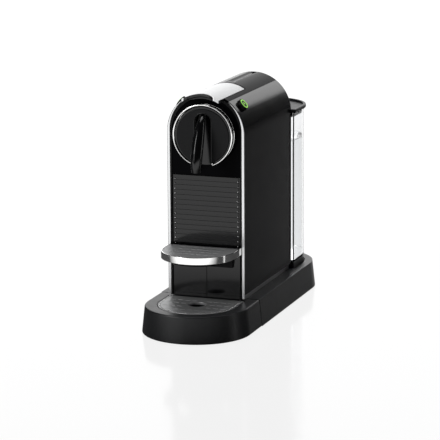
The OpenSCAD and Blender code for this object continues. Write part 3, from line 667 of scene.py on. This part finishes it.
def show_white(tree, dim, target, share, strength, also=None):
    """Blends a stage surface towards white where it is seen directly or through the clear tank."""
    path = tree.nodes.new("ShaderNodeLightPath")
    seen = tree.nodes.new("ShaderNodeMath")
    seen.operation = "MAXIMUM"
    tree.links.new(path.outputs["Is Camera Ray"], seen.inputs[0])
    tree.links.new(path.outputs["Is Transmission Ray"], seen.inputs[1])
    part = tree.nodes.new("ShaderNodeMath")
    part.operation = "MULTIPLY"
    part.inputs[1].default_value = share
    tree.links.new(seen.outputs[0], part.inputs[0])
    amount = part.outputs[0]
    if also is not None:
        either = tree.nodes.new("ShaderNodeMath")
        either.operation = "MAXIMUM"
        tree.links.new(amount, either.inputs[0])
        tree.links.new(also, either.inputs[1])
        amount = either.outputs[0]
    white = tree.nodes.new("ShaderNodeEmission")
    white.inputs["Strength"].default_value = strength
    mix = tree.nodes.new("ShaderNodeMixShader")
    tree.links.new(amount, mix.inputs["Fac"])
    tree.links.new(dim, mix.inputs[1])
    tree.links.new(white.outputs[0], mix.inputs[2])
    tree.links.new(mix.outputs[0], target)


def make_floor():
    """A plain floor that curves up into a backdrop: seen white, dim to most reflections."""
    mat, tree, shader = new_material("stage_white")
    shader.inputs["Base Color"].default_value = (0.15, 0.15, 0.152, 1)
    shader.inputs["Roughness"].default_value = 0.12
    show_white(tree, shader.outputs["BSDF"], tree.nodes["Material Output"].inputs["Surface"], 0.66, 1.3,
               front_part(tree))
    bm = bmesh.new()
    profile = [(FLOOR_FRONT, 0.0), (BEND_Y, 0.0)]
    profile += [(BEND_Y + BEND_R * math.sin(a), BEND_R - BEND_R * math.cos(a))
                for a in (math.radians(d) for d in range(6, 91, 6))]
    profile.append((BEND_Y + BEND_R, BACKDROP_TOP))
    rows = [[bm.verts.new((x, y, z)) for y, z in profile] for x in (-FLOOR_HALF, FLOOR_HALF)]
    for k in range(len(profile) - 1):
        bm.faces.new((rows[0][k], rows[1][k], rows[1][k + 1], rows[0][k + 1]))
    for face in bm.faces:
        face.smooth = True
    mesh = bpy.data.meshes.new("stage_floor")
    bm.to_mesh(mesh)
    bm.free()
    floor = bpy.data.objects.new("stage_floor", mesh)
    floor.data.materials.append(mat)
    bpy.context.scene.collection.objects.link(floor)


def area_light(name, place, target, size, power):
    """A soft light aimed at a point."""
    data = bpy.data.lights.new(name, "AREA")
    data.shape = "RECTANGLE"
    data.size, data.size_y = size
    data.energy = power
    light = bpy.data.objects.new(name, data)
    bpy.context.scene.collection.objects.link(light)
    light.location = place
    light.rotation_euler = (Vector(target) - Vector(place)).to_track_quat("-Z", "Y").to_euler()


def make_lights():
    """Soft studio light: a surround seen as white, cards behind, above and in front, a side strip."""
    world = bpy.data.worlds.new("studio")
    bpy.context.scene.world = world
    world.use_nodes = True
    tree = world.node_tree
    background = tree.nodes["Background"]
    background.inputs["Color"].default_value = (1, 1, 1, 1)
    background.inputs["Strength"].default_value = 0.04
    show_white(tree, background.outputs[0], tree.nodes["World Output"].inputs["Surface"], 1.0, 1.0)
    area_light("back_card", (-0.7, 3.4, 0.94), (-0.7, 0.0, 0.94), (3.4, 1.84), 30)
    area_light("top_soft", (-0.1, 0.2, 2.3), (0, 0, 0.1), (1.6, 1.2), 22)
    area_light("front_left", (-1.6, -1.7, 1.5), (0, -0.1, 0.2), (0.7, 1.1), 16)
    area_light("front_low", (-1.2, -1.9, 0.8), (0, -0.1, 0.18), (1.4, 1.0), 7)
    area_light("right_strip", (1.9, 0.3, 0.8), (0, 0, 0.15), (0.25, 1.6), 3)
    view = bpy.context.scene.view_settings
    view.view_transform = "Standard"
    view.look = "None"


def make_camera():
    """The camera, level to a third of a degree and looking down on the machine from its front right."""
    data = bpy.data.cameras.new("camera")
    data.sensor_width = 36.0
    data.lens = 188.63
    camera = bpy.data.objects.new("camera", data)
    bpy.context.scene.collection.objects.link(camera)
    camera.location = CAMERA_PLACE
    level = math.cos(CAMERA_DIP)
    look = Vector((-math.sin(CAMERA_TURN) * level, math.cos(CAMERA_TURN) * level, -math.sin(CAMERA_DIP)))
    rotation = look.to_track_quat("-Z", "Y").to_matrix()
    spin = rotation @ Vector((0, 0, 1))
    camera.rotation_euler = (Matrix.Rotation(CAMERA_ROLL, 3, spin) @ rotation).to_euler()
    bpy.context.scene.camera = camera


finish_cad_nodes()
make_spout()
make_head_rings()
make_recess_lip()
make_finger_lip()
make_fin_highlight_pegs()
make_grid_beads()
make_cup_icon("espresso_button", "espresso_key", "espresso_icon", False)
make_cup_icon("lungo_button", "lungo_key", "lungo_icon", True)
make_water()
make_lid_ridge()
make_floor()
make_lights()
make_camera()
